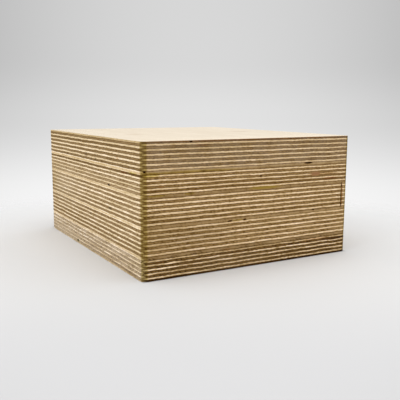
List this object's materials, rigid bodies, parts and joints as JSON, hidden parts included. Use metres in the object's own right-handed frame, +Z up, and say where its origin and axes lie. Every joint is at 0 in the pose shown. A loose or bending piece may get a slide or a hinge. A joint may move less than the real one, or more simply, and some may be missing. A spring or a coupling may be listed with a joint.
{
  "type": "stack of plywood sheets",
  "caption": "Low squared-up stack of small birch plywood sheets with rounded upright corners and bare veneer edges.",
  "frame": {"origin": "on the floor, under the middle of the stack", "axes": "+Z up through the stack, +Y along the length of the sheets, which is the grain direction of their faces, and +X along their width"},
  "size_m": [0.161, 0.185, 0.0831],
  "materials": {
    "birch_plywood": "sanded bare birch veneer, matt, with pale side-grain plies and brown end-grain plies on the edges"
  },
  "bodies": {
    "root": {"thin_sheet_1": "birch_plywood", "thick_sheet_2": "birch_plywood", "thick_sheet_3": "birch_plywood", "thin_sheet_4": "birch_plywood", "thick_sheet_5": "birch_plywood"}
  },
  "joints": []
}
